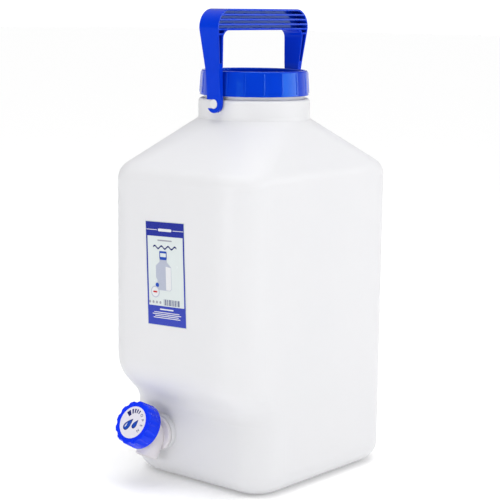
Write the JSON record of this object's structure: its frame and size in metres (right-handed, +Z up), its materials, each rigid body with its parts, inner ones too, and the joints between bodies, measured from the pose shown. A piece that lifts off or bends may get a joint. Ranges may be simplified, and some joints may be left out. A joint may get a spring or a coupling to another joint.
{
  "type": "water canister with tap",
  "caption": "Tall square-shouldered plastic water canister with a wide screw cap, a swinging carrying handle, a printed label and a turning tap in a step at the foot",
  "frame": {"origin": "on the flat base, under the axis of the neck", "axes": "+Z up along the neck; the label and the tap face -Y; the handle's pins lie along Y"},
  "size_m": [0.166, 0.2434, 0.4278],
  "materials": {
    "bottle_plastic": "translucent white, softly frosted",
    "blue_plastic": "bright blue, moulded gloss",
    "liner_foam": "fine closed foam",
    "label_film": "smooth printed film",
    "label_ink": "flat blue ink",
    "tap_plastic": "off-white, satin",
    "washer_rubber": "soft, pale grey",
    "knob_plastic": "deep blue, satin gloss",
    "disc_plastic": "white, printed"
  },
  "bodies": {
    "bottle_body": {"bottle": "bottle_plastic", "label": "label_film", "label_print": "label_ink", "tap_body": "tap_plastic", "tap_washer": "washer_rubber", "tap_inner_washer": "washer_rubber", "tap_nut": "tap_plastic"},
    "cap_carrier": {"cap_liner": "liner_foam"},
    "cap_top": {"cap": "blue_plastic"},
    "carrying_handle": {"handle": "blue_plastic"},
    "tap_turner": {"tap_plug": "tap_plastic", "plug_seal": "washer_rubber", "tap_knob": "knob_plastic", "knob_disc": "disc_plastic"}
  },
  "joints": [
    {"name": "cap_rise", "type": "slide", "parent": "bottle_body", "child": "cap_carrier", "axis": [0, 0, 1], "range_m": [0, 0.021]},
    {"name": "cap_turn", "type": "hinge", "parent": "cap_carrier", "child": "cap_top", "pos_m": [0, 0, 0.36], "axis": [0, 0, 1], "range_deg": [0, 1080]},
    {"name": "handle_swing", "type": "hinge", "parent": "bottle_body", "child": "carrying_handle", "pos_m": [0, 0, 0.3441], "axis": [0, 1, 0], "range_deg": [-103, 103]},
    {"name": "knob_turn", "type": "hinge", "parent": "bottle_body", "child": "tap_turner", "pos_m": [-0.0347, -0.09255, 0.0445], "axis": [0, -0.8829, 0.4695], "range_deg": [0, 90]}
  ],
  "couplings": [
    {"joint": "cap_rise", "follows": "cap_turn", "m_per_rad": 0.0011141}
  ]
}
